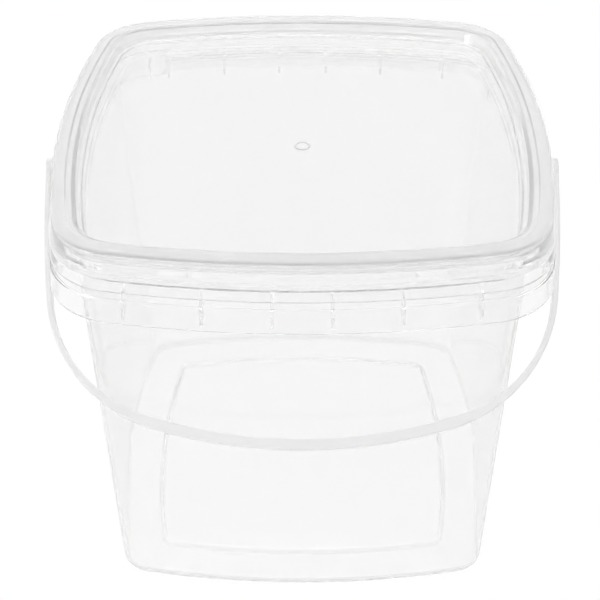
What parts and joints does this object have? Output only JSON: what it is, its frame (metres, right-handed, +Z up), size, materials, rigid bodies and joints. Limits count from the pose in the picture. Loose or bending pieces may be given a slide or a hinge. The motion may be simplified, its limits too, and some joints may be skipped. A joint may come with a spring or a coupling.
{
  "type": "lidded pail",
  "caption": "Square clear plastic pail with bowed sides, a snap-fit stacking lid, a tear-off tab on its collar and a swinging bail handle.",
  "frame": {"origin": "centre of the foot's ring, on the surface that the pail stands on", "axes": "+Z up through the lid, +X through one of the handle's pivots, and -Y to the front, where the handle hangs"},
  "size_m": [0.208, 0.2, 0.18],
  "materials": {
    "clear_polypropylene": "clear, glossy, moulded",
    "lid_polypropylene": "clear, glossy, moulded",
    "natural_polypropylene": "milky, satin, moulded"
  },
  "bodies": {
    "pail": {"pail_body": "clear_polypropylene"},
    "lid": {"lid": "lid_polypropylene"},
    "tear_tab": {"tear_tab": "clear_polypropylene"},
    "handle": {"handle": "natural_polypropylene"}
  },
  "joints": [
    {"name": "lid_lift", "type": "slide", "parent": "pail", "child": "lid", "axis": [0, 0, 1], "range_m": [0, 0.06]},
    {"name": "handle_swing", "type": "hinge", "parent": "pail", "child": "handle", "pos_m": [0, 0, 0.1579], "axis": [-1, 0, 0], "range_deg": [0, 248]},
    {"name": "tab_pull", "type": "slide", "parent": "pail", "child": "tear_tab", "axis": [-0.7071, 0.7071, 0], "range_m": [0, 0.03]}
  ]
}
